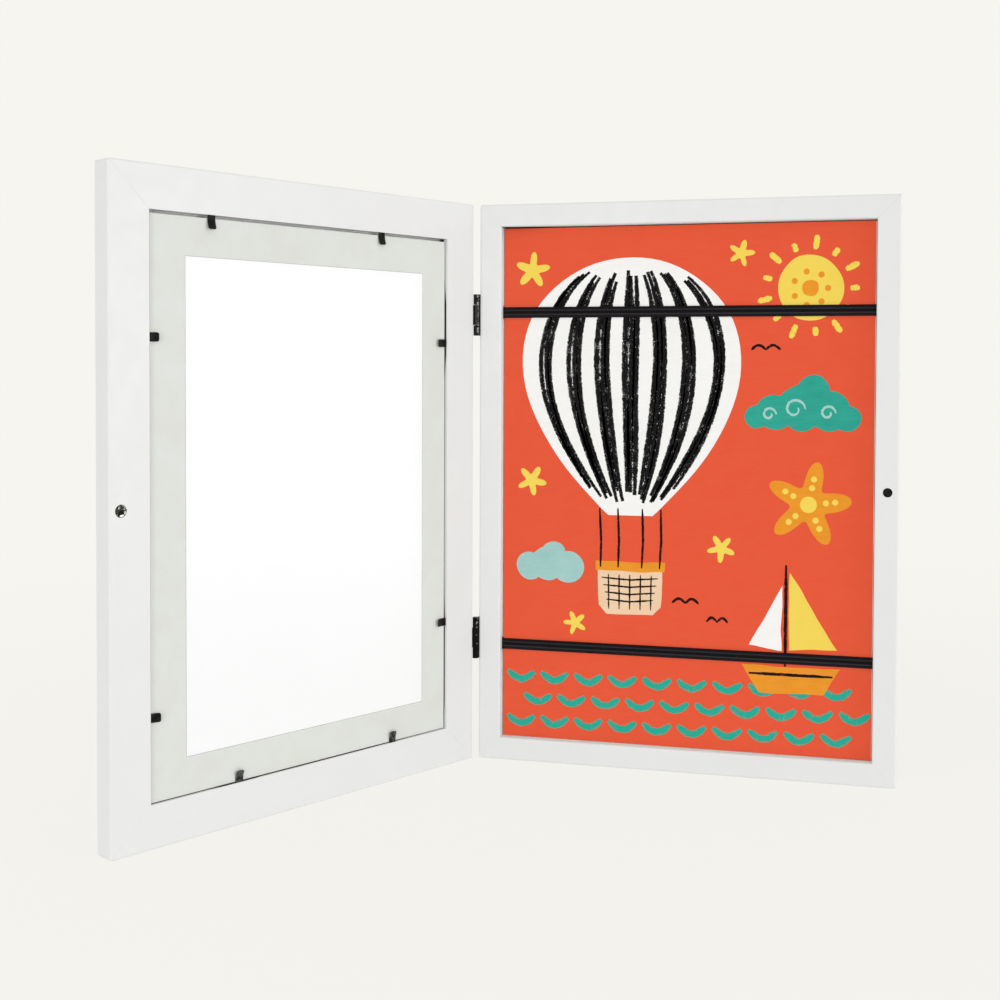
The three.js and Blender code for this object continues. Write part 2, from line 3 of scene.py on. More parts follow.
from math import atan, cos, pi, radians, sin, sqrt
import random

import bmesh
import bpy
from mathutils import Matrix, Vector, noise


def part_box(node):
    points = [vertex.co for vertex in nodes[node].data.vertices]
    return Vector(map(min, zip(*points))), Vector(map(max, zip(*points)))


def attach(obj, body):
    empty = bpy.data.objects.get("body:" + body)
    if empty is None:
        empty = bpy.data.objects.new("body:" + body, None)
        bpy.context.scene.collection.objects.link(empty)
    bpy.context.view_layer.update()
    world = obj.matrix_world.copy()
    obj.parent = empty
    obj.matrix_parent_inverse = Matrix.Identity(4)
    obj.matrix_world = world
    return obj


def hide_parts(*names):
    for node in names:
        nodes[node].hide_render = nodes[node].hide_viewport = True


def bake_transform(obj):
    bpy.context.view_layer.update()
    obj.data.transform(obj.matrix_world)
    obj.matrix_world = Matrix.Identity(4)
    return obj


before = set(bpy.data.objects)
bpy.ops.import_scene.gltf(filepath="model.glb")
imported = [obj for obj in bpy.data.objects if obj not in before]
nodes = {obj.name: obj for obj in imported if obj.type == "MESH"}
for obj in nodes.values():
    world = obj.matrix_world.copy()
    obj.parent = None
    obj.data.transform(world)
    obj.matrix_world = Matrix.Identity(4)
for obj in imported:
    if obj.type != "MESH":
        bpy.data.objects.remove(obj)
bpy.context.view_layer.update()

MM = 0.001

# Camera, from the corners of the frame in the photograph
camera_place = (0.10249, -0.78106, 0.22692)
camera_yaw = radians(14.345)
camera_pitch = radians(-1.541)
camera_roll = radians(-0.223)
camera_focus = 1.3729
camera_sensor = 36.0
camera_shift = (-0.01891, -0.09115)
camera_clip = 0.01

# Light. Each lamp has a place, a size and a power
daylight_level = 0.77
lamps = {
    "key_lamp": ((-0.3, -1.8, 0.3), 0.4, 5.5),
    "side_lamp": ((1.5, -0.3, 0.25), 0.8, 7.2),
}
lamp_target = (-0.05, -0.05, 0.16)
floor_size = 12.0
floor_share = 0.14
# How much the floor glows for bounced light, lighting the frame from below
floor_glow_share = 0.6
floor_clouds = 0.4
shadow_inner = 0.25
shadow_outer = 0.95

# Grain: most of a noise pattern lies between these two values
grain_low = 0.3
grain_high = 0.7

# Patches on metal: their size, and the range of grain that they spread over
soft_patches = (2.5 * MM, 0.35, 0.65)
# The nickel magnet's pale patches are painted glints
nickel_glint_patches = (2.6 * MM, 0.53, 0.60)
# Pale patches on the bottom points are painted reflections of the light from above
bottom_point_glint_patches = (1.6 * MM, 0.42, 0.62)

# Door as it stands open, measured from its hinge pin
pin_x = -120.4 * MM
pin_y = -10.1 * MM
door_turn = radians(118.5)
door_side = 1.9 * MM
door_inside = -0.25 * MM
frame_wide = 237.0 * MM
frame_tall = 324.0 * MM
door_rail = 21.5 * MM
rebate_floor = -6.3 * MM
rebate_lip = 4.9 * MM

# Painted shade in the door's rebate: a near-black colour on the wall below the mat, where the gap beside the
# mat is shaded. Each stretch is given by its middle and half its length along the rail, and by how far up the
# wall it comes between the lowest and highest line
shade_lowest = -3.2 * MM
shade_highest = -0.9 * MM
shade_flat = 0.4
shade_stretches = {
    "door_hinge_rail": ((251 * MM, 36 * MM, 0.9), (62 * MM, 62 * MM, 0.65)),
    "door_bottom_rail": ((165 * MM, 26 * MM, 1.0), (112 * MM, 90 * MM, 0.78), (200 * MM, 60 * MM, 0.5)),
}

# Painted shade under the tray's top rail, where the gap above the picture is shaded, in a wedge: where its
# edge starts and ends along the rail, and how far back the edge is at each end
wedge_ends = (-105.5 * MM, -40.0 * MM)
wedge_depths = (-9.4 * MM, 0.5 * MM)
tray_inner_top = 311.0 * MM
shade_soft = 0.1 * MM

# Mat: painted shade in a grey line along the window's edge: how far from the door's rails it starts, and how
# far from them it is full
mat_shade_from = 8 * MM
mat_shade_full = 10 * MM

# Flexible points, each with its distance from the door's hinge side or foot, and its reach over the mat
point_front = -1.65 * MM
point_thick = 0.5 * MM
point_wide = 4.4 * MM
point_depth = 6.0 * MM
point_bend = (0.5 * MM, 1.7 * MM)
point_bend_steps = 6
point_steps = 26
point_lift = 1.35 * MM
point_lift_shares = (0.85, 1.15)
point_skew = 0.02
point_curl = 1.6
point_corner = 1.0 * MM
point_edge = 0.13 * MM
point_seed = 80
flexible_points = (
    ("hinge_side_upper", "left", 243.1 * MM, 6.8 * MM),
    ("hinge_side_lower", "left", 83.3 * MM, 6.8 * MM),
    ("free_side_upper", "right", 242.7 * MM, 5.2 * MM),
    ("free_side_lower", "right", 62.6 * MM, 5.5 * MM),
    ("top_outer", "top", 180.3 * MM, 6.8 * MM),
    ("top_inner", "top", 70.4 * MM, 6.6 * MM),
    ("bottom_outer", "bottom", 164.4 * MM, 6.0 * MM),
    ("bottom_inner", "bottom", 62.1 * MM, 6.1 * MM),
)

# Hinges: how far in the black coat is rubbed from its edges, the side of a knuckle that gets a painted
# highlight where the side lamp's reflection falls, and the screws, measured from the hinge pin
rubbed_edge = 0.25 * MM
highlight_facing = (0.74, -0.67, 0.0)
hinge_heights = {"upper": 260 * MM, "lower": 71 * MM}
screw_rise = {"lower": -7.0 * MM, "upper": 7.0 * MM}
screw_face = 1.0 * MM
screw_out = 6.4 * MM
screw_head = 1.85 * MM
screw_rounding = 0.12 * MM
screw_shank = 1.0 * MM
screw_cone = 0.85 * MM
screw_length = 8.0 * MM
screw_tip = 2.0 * MM
screw_tip_share = 0.1
screw_sides = 32
recess_arm = 1.25 * MM
recess_half = 0.27 * MM
recess_depth = 0.6 * MM
recess_taper = 0.5

# Door magnet
magnet_radius = 3.0 * MM
magnet_inset = 6.2 * MM
magnet_thick = 3.0 * MM
magnet_bevel = 0.35 * MM
magnet_bevel_steps = 3
magnet_dents = 0.2 * MM
magnet_dent_pitch = 420
magnet_rings = 12
magnet_sides = 40

# Straps: how high the valley between two cords stands, and how much painted sheen each cord's crest gets
strap_thick = 0.6 * MM
strap_bend = 1.2 * MM
strap_bend_steps = 5
strap_step = 1.2 * MM
strap_cord_sheen = (0.35, 0.95, 0.15, 0.80, 0.25)
strap_cord_steps = 6
strap_valley = 0.68
strap_braid = 420.0

# Stored sheets, each a little thinner than its place in the stack
sheet_count = 36
sheet_shift = 0.4 * MM
sheet_fill = 0.94

# Back panel staples, at these shares of the panel's height and width
staple_heights = (0.1, 0.37, 0.68, 0.92)
staple_widths = (0.2, 0.76)
staple_half = 4.0 * MM
staple_wire = 0.35 * MM
staple_corner = 0.6 * MM
staple_corner_steps = 4
staple_leg = 1.6 * MM
staple_inset = 6.5 * MM
staple_tilt = 0.16

# Picture, in millimetres from the middle of the sheet, apart from the thickness of one layer of paint
paint_layer = 0.022 * MM
stroke_step = 0.9
outline_step = 2.0
balloon_x = -30.0
balloon_top = 131.0
balloon_tall = 148.0
balloon_wide = 126.0
balloon_mouth = 0.2
balloon_widest = 0.40
balloon_steps = 40
balloon_stripes = 7
stripe_wide = 9.6
stripe_passes = 3
stripe_steps = 48
basket_z = -60.0
basket_wide = 38.0
basket_tall = 28.0
sun_place = (70.0, 112.0)
sun_radius = 18.0
sun_rays = 13
sun_ray_start = 3.5
sun_ray_ends = (8.5, 11.5)
sun_spots = 7
sun_spot_reach = 9.5
near_cloud = (66, 46, [(0, 0, 13), (-15, -3, 10), (15, -2, 11), (-25, -6, 6.5), (25, -6, 7), (6, 9, 9)])
far_cloud = (-78, -46, [(0, 0, 10), (-11, -2, 8), (12, -2, 9), (3, 6, 7)])
cloud_curls = ((62, 45, 6.0), (80, 43, 4.4), (48, 42, 4.0))
star_arms = 5
large_star = (70.0, -8.0, 24, 0.2)
large_star_spots = (9.5, 14.5)
small_stars = (
    (-88, 124, 10.5, 0.1),
    (-88, 2, 9.0, 0.5),
    (32, 132, 7.5, 0.3),
    (22, -34, 8.0, 0.7),
    (-62, -80, 7.0, 0.9),
)
wave_rows = ((-110, -94), (-123, -84), (-136, -94))
wave_pitch = 20.0
wave_wide = 16.0
wave_drop = 4.6
wave_limit = 97
boat_shapes = (
    ("hull", "orange", [(34, -99), (88, -99), (79, -114), (44, -114)]),
    ("sail", "yellow", [(60, -90), (60, -46), (86, -88)]),
    ("foresail", "white", [(56, -90), (56, -54), (38, -88)]),
)
boat_lines = [([(58, -99), (58.2, -42)], 2.0), ([(38, -103.5), (84, -103.5)], 1.8)]
birds = ((46, 78, 8.0), (2, -66, 7.5), (20, -76, 6.0))
bird_rise = 2.6


def srgb(red, green, blue):
    """A colour given as screen values from 0 to 255, as the shader takes it."""
    def linear(value):
        share = value / 255
        return share / 12.92 if share <= 0.04045 else ((share + 0.055) / 1.055) ** 2.4
    return (linear(red), linear(green), linear(blue), 1.0)


# Colours. Where there are two, grain mixes them
plain_white = (1.0, 1.0, 1.0, 1.0)
backdrop_colour = srgb(246, 245, 240)
backdrop_through_pane = (1.02, 1.02, 1.02, 1.0)
floor_colours = (srgb(244, 243, 238), srgb(240, 239, 234))
white_paint_colours = (srgb(235, 235, 235), srgb(233, 233, 233))
worn_paint_colour = srgb(224, 224, 221)
# Painted shade: near-black, for the shaded gaps in the door's rebate and under the tray's top rail
painted_shade_colours = (srgb(34, 29, 25), srgb(24, 21, 18))
mat_colours = (srgb(226, 229, 225), srgb(223, 224, 219))
mat_hair_colour = srgb(206, 205, 198)
# Painted shade along the mat's window edge
mat_edge_shade_colour = srgb(112, 111, 107)
hardboard_colours = (srgb(147, 106, 71), srgb(155, 113, 77))
fleck_colour = srgb(104, 71, 45)
# Black elastic, and the painted sheen on its crests
elastic_black_and_sheen = (srgb(18, 17, 19), srgb(66, 62, 66))
# Hinge black, and the pale grey of its rubbed edges and of its painted highlight
hinge_colours = (srgb(7, 7, 7), srgb(176, 174, 168))
sheet_colours = (srgb(240, 238, 231), srgb(219, 216, 207))
coral = srgb(237, 87, 51)
paper_white = srgb(254, 253, 251)
crayon_black = srgb(17, 16, 17)
sun_yellow = srgb(250, 222, 92)
sea_teal = srgb(42, 174, 152)
pale_blue = srgb(172, 212, 207)
basket_peach = srgb(249, 217, 182)
picture_paints = {
    "white": (paper_white, srgb(247, 246, 242)),
    "yellow": (sun_yellow, srgb(248, 214, 80)),
    "orange": (srgb(245, 160, 34), srgb(233, 140, 26)),
    "teal": (sea_teal, srgb(33, 156, 138)),
    "pale_blue": (pale_blue, srgb(150, 198, 194)),
    "peach": (basket_peach, srgb(240, 200, 160)),
}
picture_crayons = {
    "black_on_white": (crayon_black, paper_white),
    "black_on_coral": (crayon_black, coral),
    "black_on_peach": (crayon_black, basket_peach),
    "yellow_on_coral": (sun_yellow, coral),
    "teal_on_coral": (sea_teal, coral),
    "pale_on_teal": (pale_blue, sea_teal),
}


def finish(name, look, *values):
    """A new node material. Its look gets its tree, its main shader and the values."""
    material = bpy.data.materials.new(name)
    material.use_nodes = True
    tree = material.node_tree
    look(tree, tree.nodes["Principled BSDF"], *values)
    return material


def put(socket, value):
    """Sets a socket, or links another node's output to it."""
    if isinstance(value, bpy.types.NodeSocket):
        socket.id_data.links.new(value, socket)
    else:
        socket.default_value = value


def fill(node, **inputs):
    """Sets a node's inputs by name, and returns the node."""
    for name, value in inputs.items():
        put(node.inputs[name.replace("_", " ")], value)
    return node


def add_node(tree, kind, **inputs):
    """One node of the given kind, with its inputs set by name."""
    return fill(tree.nodes.new("ShaderNode" + kind), **inputs)


def work_out(kind, values, operation=None):
    """The outputs of a node that takes the values in turn, in the tree that they come from."""
    tree = next(value.id_data for value in values if isinstance(value, bpy.types.NodeSocket))
    node = add_node(tree, kind)
    if operation:
        node.operation = operation
    for socket, value in zip(node.inputs, values):
        put(socket, value)
    return node.outputs


def spread(value, low, high, bottom=0.0, top=1.0):
    """Maps a value's range from low and high to bottom and top."""
    return work_out("MapRange", (value, low, high, bottom, top))[0]


def compute(operation, first, second=0.0):
    """One sum on two values."""
    return work_out("Math", (first, second), operation)[0]


def times(first, second):
    """Two values multiplied."""
    return compute("MULTIPLY", first, second)


def compute_vector(operation, first, second=(0.0, 0.0, 0.0)):
    """One sum on two vectors, as a vector and as a value."""
    return work_out("VectorMath", (first, second), operation)


def mix_shaders(share, first, second):
    """A shader between two others."""
    return work_out("MixShader", (share, first, second))[0]


def mix(factor, first, second):
    """A colour between two others."""
    node = add_node(factor.id_data, "Mix")
    node.data_type = "RGBA"
    for index, value in ((0, factor), (6, first), (7, second)):
        put(node.inputs[index], value)
    return node.outputs[2]


def own_place(tree):
    """A point's place in its piece."""
    return add_node(tree, "TexCoord").outputs["Object"]


def stored(tree, name):
    """A value that the mesh keeps at each of its points."""
    node = add_node(tree, "Attribute")
    node.attribute_name = name
    return node.outputs["Fac"]


def grain(tree, size, detail=2.0, stretch=(1.0, 1.0, 1.0)):
    """Cloudy grain of about the given size in metres, fixed to the piece."""
    mapping = add_node(tree, "Mapping", Vector=own_place(tree), Scale=stretch)
    return add_node(tree, "TexNoise", Vector=mapping.outputs[0], Scale=1 / size, Detail=detail).outputs["Fac"]


def varied(tree, size, detail, bottom=0.0, top=1.0):
    """Cloudy grain that goes from bottom to top."""
    return spread(grain(tree, size, detail), grain_low, grain_high, bottom, top)


def relief(height, depth, normal=None):
    """A bump of the given depth in metres."""
    node = add_node(height.id_data, "Bump", Strength=1.0, Distance=depth, Height=height)
    if normal is not None:
        put(node.inputs["Normal"], normal)
    return node.outputs[0]


def coat(shader, colour, rough, height, depth, mirror=0.5, normal=None):
    """A surface: its colour, roughness, relief and mirror."""
    bump = relief(height, depth, normal)
    fill(shader, Base_Color=colour, Roughness=rough, Specular_IOR_Level=mirror, Normal=bump)


def edge_share(tree, radius):
    """How near a point is to an edge, from 0 to 1, and the normal that rounds that edge."""
    rounded = add_node(tree, "Bevel", Radius=radius).outputs[0]
    flat = add_node(tree, "NewGeometry").outputs["True Normal"]
    across = compute_vector("DOT_PRODUCT", rounded, flat)["Value"]
    return spread(across, 0.995, 0.80), rounded


def show(tree, shader):
    """Makes a shader the one that the material shows."""
    put(tree.nodes["Material Output"].inputs["Surface"], shader)


def door_place(tree):
    """A point's place in the shut door, across, in depth and up, and its distance from the nearest side."""
    from_pin = compute_vector("SUBTRACT", own_place(tree), (pin_x, pin_y, 0.0))["Vector"]
    shut = add_node(tree, "Mapping", Vector=from_pin, Rotation=(0.0, 0.0, door_turn))
    x, y, z = add_node(tree, "SeparateXYZ", Vector=shut.outputs[0]).outputs
    from_hinge = compute("SUBTRACT", x, door_side)
    across = compute("MINIMUM", from_hinge, compute("SUBTRACT", frame_wide, from_hinge))
    upward = compute("MINIMUM", z, compute("SUBTRACT", frame_tall, z))
    return from_hinge, y, z, compute("MINIMUM", across, upward)


def shade_line(along, stretches):
    """How high up the rebate's wall the painted shade comes, at a place along a rail."""
    share = 0.0
    for middle, half, most in stretches:
        away = compute("ABSOLUTE", compute("SUBTRACT", along, middle))
        share = compute("MAXIMUM", spread(away, half, half * shade_flat, 0.0, most), share)
    return spread(share, 0.0, 1.0, shade_lowest, shade_highest)


def rebate_shade_share(tree, rail):
    """1 on the painted shade in a door rail's rebate, and 0 on the rest of the rail."""
    from_hinge, y, z, inset = door_place(tree)
    past_rail = spread(inset, door_rail - 2 * shade_soft, door_rail - shade_soft)
    before_lip = spread(inset, door_rail + rebate_lip, door_rail + rebate_lip - shade_soft)
    line = shade_line(z if rail == "door_hinge_rail" else from_hinge, shade_stretches[rail])
    below_line = spread(compute("SUBTRACT", line, y), 0.0, 2 * shade_soft)
    above_front = spread(y, rebate_floor - 2 * shade_soft, rebate_floor - shade_soft)
    return times(times(past_rail, before_lip), times(below_line, above_front))


def wedge_shade_share(tree):
    """1 on the painted shade under the tray's top rail, and 0 on the rest of the rail."""
    x, y, z = add_node(tree, "SeparateXYZ", Vector=own_place(tree)).outputs
    edge = spread(x, *wedge_ends, *wedge_depths)
    behind_edge = spread(compute("SUBTRACT", y, edge), 0.0, 4 * shade_soft)
    underside = spread(z, tray_inner_top + 3 * shade_soft, tray_inner_top + 2 * shade_soft)
    return times(behind_edge, underside)


def shade_share(tree, rail):
    """1 on a rail's painted shade, and 0 on its paint."""
    return rebate_shade_share(tree, rail) if rail in shade_stretches else wedge_shade_share(tree)


def white_paint(tree, shader, shaded_rail=None):
    """Satin paint on fibreboard: a fine roller stipple, paint that thins along the arrises, and on some rails
    a near-black painted shade in their shaded gaps.
    """
    edge = edge_share(tree, 0.3 * MM)[0]
    broken = times(edge, spread(grain(tree, 3 * MM, 4), 0.45, 0.8))
    paint = mix(broken, mix(varied(tree, 30 * MM, 3), *white_paint_colours), worn_paint_colour)
    # Painted shade, near-black, in the rail's shaded gap
    if shaded_rail:
        shade_colour = mix(grain(tree, 1.0 * MM, 4), *painted_shade_colours)
        paint = mix(shade_share(tree, shaded_rail), paint, shade_colour)
    stipple = compute("ADD", grain(tree, 0.9 * MM, 2), grain(tree, 3.5 * MM, 1))
    rough = varied(tree, 8 * MM, 3, 0.34, 0.48)
    coat(shader, paint, rough, stipple, 0.03 * MM)


def mat_board(tree, shader):
    """Pale pressed board with a few darker hairs, and painted shade in a grey line along the window's edge.
    """
    hairs = spread(grain(tree, 0.7 * MM, 3, (1.0, 1.0, 0.2)), 0.66, 0.78)
    haired = mix(times(hairs, 0.5), mix(varied(tree, 14 * MM, 4), *mat_colours), mat_hair_colour)
    inset = door_place(tree)[3]
    window = spread(inset, door_rail + mat_shade_from, door_rail + mat_shade_full, 0.0, 0.8)
    edge_shade = times(edge_share(tree, 0.4 * MM)[0], window)
    tooth = compute("ADD", grain(tree, 0.35 * MM, 3), grain(tree, 1.6 * MM, 2))
    coat(shader, mix(edge_shade, haired, mat_edge_shade_colour), 0.9, tooth, 0.05 * MM)


def hardboard(tree, shader):
    """Brown pressed hardboard: matted fibres and a light sheen."""
    fibres = grain(tree, 0.5 * MM, 6, (1.0, 1.0, 0.4))
    brown = mix(spread(grain(tree, 45 * MM, 3), 0.35, 0.65), *hardboard_colours)
    board = mix(times(spread(fibres, 0.42, 0.66), 0.5), brown, fleck_colour)
    rough = spread(fibres, grain_low, grain_high, 0.55, 0.8)
    coat(shader, board, rough, fibres, 0.06 * MM)


def elastic(tree, shader):
    """Black braided elastic: a painted sheen along the crests of its cords, and a fine braid across them."""
    braid = add_node(tree, "TexWave", Vector=own_place(tree), Scale=strap_braid, Distortion=1.2)
    braid.bands_direction = "DIAGONAL"
    fuzz = grain(tree, 0.25 * MM, 3)
    # Painted sheen, strongest on the crests of the second and fourth cords
    lift = times(spread(stored(tree, "crest_sheen"), 0.1, 0.95), spread(fuzz, grain_low, grain_high, 0.45, 1.0))
    weave = compute("ADD", braid.outputs["Fac"], fuzz)
    coat(shader, mix(lift, *elastic_black_and_sheen), 0.8, weave, 0.08 * MM, 0.06)


def metal(tree, shader, colour, worn, shine, metallic, mirror=0.5, cloudy=0.35, patches=soft_patches):
    """A metal or coated metal: clouds or patches, fine scratches, and edges rubbed to a second colour."""
    edge, rounded = edge_share(tree, rubbed_edge)
    bare = times(edge, spread(grain(tree, 0.9 * MM, 4), 0.35, 0.65))
    size, low, high = patches
    # On the nickel magnet and the bottom points, the patches of the second colour are painted reflections
    tint = mix(spread(grain(tree, size, 4), low, high, 0.0, cloudy), colour, worn)
    scratches = grain(tree, 0.5 * MM, 4, (1.0, 1.0, 0.12))
    rough = varied(tree, 1.1 * MM, 4, shine, shine + 0.16)
    fill(shader, Metallic=metallic)
    coat(shader, mix(bare, tint, worn), rough, scratches, 0.02 * MM, mirror, rounded)


def hinge_steel(tree, shader, mirror, bright_from):
    """Black-coated steel, rubbed bright on its edges, with a painted highlight in a broken line along each
    knuckle, on the side that catches the side lamp's reflection.
    """
    edge, rounded = edge_share(tree, rubbed_edge)
    normal = add_node(tree, "TexCoord").outputs["Normal"]
    # Painted highlight: a pale line on each knuckle where the side lamp is reflected
    line = spread(compute_vector("DOT_PRODUCT", normal, highlight_facing)["Value"], 0.93, 0.98)
    worn = spread(grain(tree, 2.2 * MM, 3), bright_from, bright_from + 0.14)
    black = mix(times(compute("MAXIMUM", edge, line), worn), *hinge_colours)
    rough = varied(tree, 1.1 * MM, 4, 0.2, 0.36)
    coat(shader, black, rough, grain(tree, 0.5 * MM, 4), 0.02 * MM, mirror, rounded)


def clear_pane(tree, shader):
    """Clear sheet plastic: see-through, with a faint haze and a weak mirror that grows at a slant."""
    fill(shader, Base_Color=(0.98, 0.98, 0.98, 1.0), Roughness=varied(tree, 25 * MM, 3, 0.04, 0.08))
    open_view = add_node(tree, "BsdfTransparent", Color=(0.998, 1.0, 0.999, 1.0))
    slant = add_node(tree, "Fresnel", IOR=1.2)
    share = compute("ADD", slant.outputs[0], varied(tree, 60 * MM, 3, 0.02, 0.04))
    show(tree, mix_shaders(share, open_view.outputs[0], shader.outputs[0]))


def paper_stack(tree, shader):
    """White paper with sheet edges that differ a little from one to the next."""
    paper = mix(spread(grain(tree, 0.4 * MM, 1, (0.02, 1.0, 0.02)), 0.35, 0.65), *sheet_colours)
    coat(shader, paper, 0.85, grain(tree, 0.4 * MM, 3), 0.02 * MM)


def gouache(tree, shader, colour, second, streak=0.35, depth=0.03 * MM):
    """Brushed poster paint on paper: soft patches, brush streaks and the paper's tooth."""
    streaks = spread(grain(tree, 1.1 * MM, 4, (0.12, 1.0, 1.0)), 0.35, 0.7)
    share = compute("ADD", times(varied(tree, 16 * MM, 4), 0.5), times(streaks, streak))
    tooth = compute("ADD", grain(tree, 0.3 * MM, 3), times(streaks, 2 * streak))
    rough = spread(streaks, 0.0, 1.0, 0.62, 0.8)
    coat(shader, mix(share, colour, second), rough, tooth, depth, 0.3)


def crayon(tree, shader, colour, under):
    """Wax crayon that skips over the paper's tooth, and thins towards the edge of each stroke."""
    tooth = compute("ADD", grain(tree, 0.55 * MM, 4), times(grain(tree, 4 * MM, 2), 0.35))
    worn = compute("ADD", tooth, times(compute("POWER", stored(tree, "stroke_edge"), 2.0), 0.16))
    wax = mix(spread(worn, 0.86, 0.92), colour, under)
    coat(shader, wax, 0.7, grain(tree, 0.4 * MM, 3), 0.03 * MM, 0.1)


def finish_piece(piece, material, body):
    """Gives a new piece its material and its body."""
    piece.data.materials.append(material)
    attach(piece, body)


def mesh_piece(name, mesh_work, sharp_angle=40):
    """Turns worked mesh data into an object, smooth apart from its sharp edges."""
    mesh = bpy.data.meshes.new(name)
    bmesh.ops.recalc_face_normals(mesh_work, faces=mesh_work.faces)
    mesh_work.to_mesh(mesh)
    mesh_work.free()
    mesh.shade_smooth()
    mesh.set_sharp_from_angle(angle=radians(sharp_angle))
    piece = bpy.data.objects.new(name, mesh)
    bpy.context.scene.collection.objects.link(piece)
    return piece


def loft(mesh_work, rings, capped=True):
    """Joins closed rings of points into one skin, and shuts its ends."""
    made = [[mesh_work.verts.new(point) for point in ring] for ring in rings]
    count = len(made[0])
    for first, second in zip(made, made[1:]):
        for index in range(count):
            after = (index + 1) % count
            mesh_work.faces.new((first[index], first[after], second[after], second[index]))
    if capped:
        mesh_work.faces.new(made[0])
        mesh_work.faces.new(made[-1])
    return made


def round_angles(count):
    """Angles at even spaces round a circle."""
    return [2 * pi * index / count for index in range(count)]


def around(x, z, reach, angle):
    """A point at a distance and an angle from another one."""
    return (x + reach * cos(angle), z + reach * sin(angle))


def disc(x, z, radius, count=56):
    """A circle's outline."""
    return [around(x, z, radius, angle) for angle in round_angles(count)]


def quarter_turns(steps):
    """Angles from none to a right angle, at even spaces."""
    return [pi / 2 * step / steps for step in range(steps + 1)]


def way_along(path, index):
    """The way that a path runs at one of its points."""
    before = Vector(path[max(index - 1, 0)])
    after = Vector(path[min(index + 1, len(path) - 1)])
    return (after - before).normalized()


def strap_path(low, high):
    """The middle line of a strap: down one side wall, across the sheet and up the other wall."""
    left = low.x + strap_thick / 2
    right = high.x - strap_thick / 2
    front = low.y + strap_thick / 2
    side = [(0.0, high.y), (0.0, (high.y + front) / 2)]
    for turn in quarter_turns(strap_bend_steps):
        side.append((strap_bend * (1 - cos(turn)), front + strap_bend * (1 - sin(turn))))
    run = right - left - 2 * strap_bend
    count = int(run / strap_step)
    across = [(left + strap_bend + run * step / count, front) for step in range(1, count)]
    return [(left + x, y) for x, y in side] + across + [(right - x, y) for x, y in reversed(side)]


def strap_section(middle, half):
    """Places round a strap's section, each with how far it stands out and how much painted sheen it gets."""
    cords = len(strap_cord_sheen)
    samples = cords * strap_cord_steps
    section = []
    for side in (1, -1):
        for sample in range(samples + 1):
            share = sample / samples
            crest = abs(sin(pi * share * cords))
            tint = strap_cord_sheen[min(int(share * cords), cords - 1)]
            height = strap_valley + (1 - strap_valley) * crest
            place = middle + (share * 2 - 1) * side * half
            section.append((place, side * height * strap_thick / 2, crest * tint))
    return section


def make_strap(node, material):
    """A ribbed elastic strap in the place of its plain solid."""
    low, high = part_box(node)
    path = strap_path(low, high)
    section = strap_section((low.z + high.z) / 2, (high.z - low.z) / 2)
    rings = []
    for index, (x, y) in enumerate(path):
        along = way_along(path, index)
        rings.append([(x + along.y * out, y - along.x * out, z) for z, out, crest_sheen in section])
    work = bmesh.new()
    layer = work.verts.layers.float.new("crest_sheen")
    for row in loft(work, rings):
        for vertex, (z, out, crest_sheen) in zip(row, section):
            vertex[layer] = crest_sheen
    piece = mesh_piece(node + "_braid", work, 75)
    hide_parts(node)
    finish_piece(piece, material, "tray")


def make_sheets(material):
    """The stored sheets as a stack of separate leaves, none quite in line with the next."""
    low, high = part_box("stored_sheets")
    draw = random.Random(11)
    work = bmesh.new()
    pitch = (high.y - low.y) / sheet_count
    for index in range(sheet_count):
        left = low.x - draw.uniform(0, sheet_shift)
        right = high.x + draw.uniform(0, sheet_shift)
        top = high.z - draw.uniform(0, sheet_shift)
        near = low.y + pitch * index
        far = near + pitch * sheet_fill
        corners = ((left, low.z), (right, low.z), (right, top), (left, top))
        loft(work, [[(x, y, z) for x, z in corners] for y in (near, far)])
    piece = mesh_piece("stored_sheet_leaves", work, 30)
    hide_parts("stored_sheets")
    finish_piece(piece, material, "tray")


def in_door(x, y, z):
    """A point of the shut door, measured from the hinge pin, where it is with the door open."""
    across = cos(door_turn)
    ahead = sin(door_turn)
    return Vector((pin_x + x * across + y * ahead, pin_y - x * ahead + y * across, z))


def point_root(side, along):
    """Where a point leaves the rebate's wall, and its way in, both as x and z of the shut door."""
    roots = {
        "left": ((door_side + door_rail, along), (1, 0)),
        "right": ((door_side + frame_wide - door_rail, along), (-1, 0)),
        "top": ((door_side + along, frame_tall - door_rail), (0, -1)),
        "bottom": ((door_side + along, door_rail), (0, 1)),
    }
    return roots[side]


def point_half(reach, tip):
    """Half a point's width at a distance from the wall: full, and round at the tip's corners."""
    half = point_wide / 2
    into = reach - (tip - point_corner)
    if into <= 0:
        return half
    return half - point_corner + sqrt(max(0.0, point_corner ** 2 - into ** 2))


def point_section(half):
    """The strip's cross section with rounded edges, as pairs of width and height from its middle."""
    corners = ((1, 1, 0.0), (-1, 1, 0.5), (-1, -1, 1.0), (1, -1, 1.5))
    section = []
    for side, level, start in corners:
        for step in range(3):
            turn = pi * (start + step / 4)
            across = side * (half - point_edge) + point_edge * cos(turn)
            height = level * (point_thick / 2 - point_edge) + point_edge * sin(turn)
            section.append((across, height))
    return section


